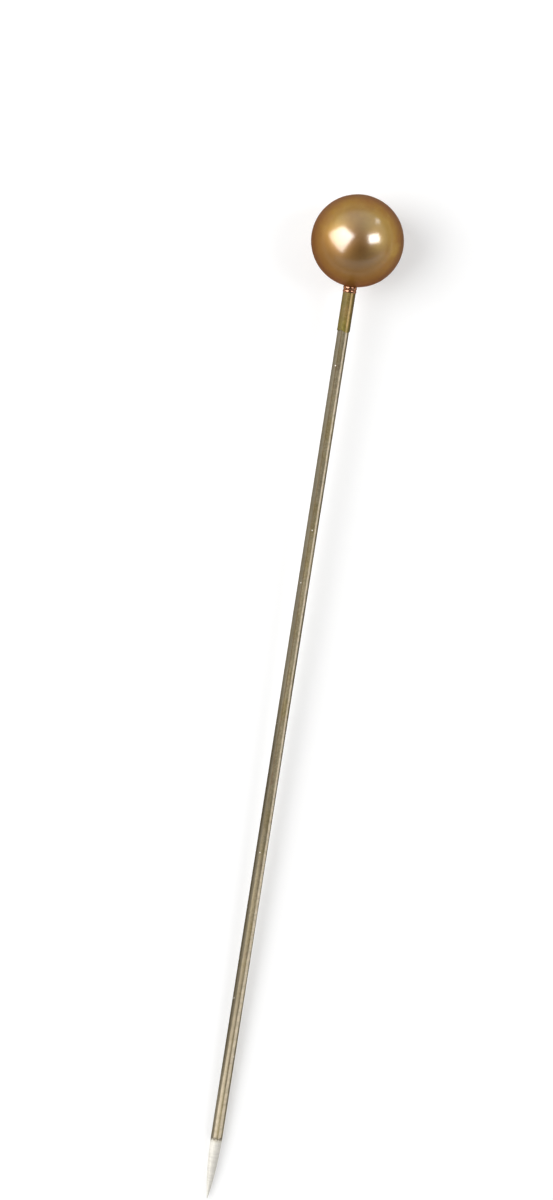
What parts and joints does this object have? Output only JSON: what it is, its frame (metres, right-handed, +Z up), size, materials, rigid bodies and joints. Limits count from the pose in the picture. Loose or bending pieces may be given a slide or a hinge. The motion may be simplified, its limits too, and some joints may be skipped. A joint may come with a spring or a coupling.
{
  "type": "straight pin",
  "caption": "Pearl-headed straight pin: a gold lacquered ball glued on a plated steel wire that is ground to a point, for ribbon, flowers or fabric.",
  "frame": {"origin": "on the table below the middle of the pin as it lies, midway between crown and tip", "axes": "+X along the table from the ball towards the point, +Z up; the wire's own axis leans down 2.3 degrees from the ball to the point, so that ball and point both touch the table"},
  "size_m": [0.066, 0.006, 0.006],
  "materials": {
    "pearl_lacquer": "gold bronze pearl lacquer over moulded plastic, glossy",
    "plated_wire": "nickel plated drawn steel wire, slightly tarnished",
    "gold_film": "thin clear gold lacquer, glossy",
    "glue": "set amber glue, glossy"
  },
  "bodies": {
    "root": {"pearl_head": "pearl_lacquer", "shank": "plated_wire", "lacquer_film": "gold_film", "glue_collar": "glue"}
  },
  "joints": []
}
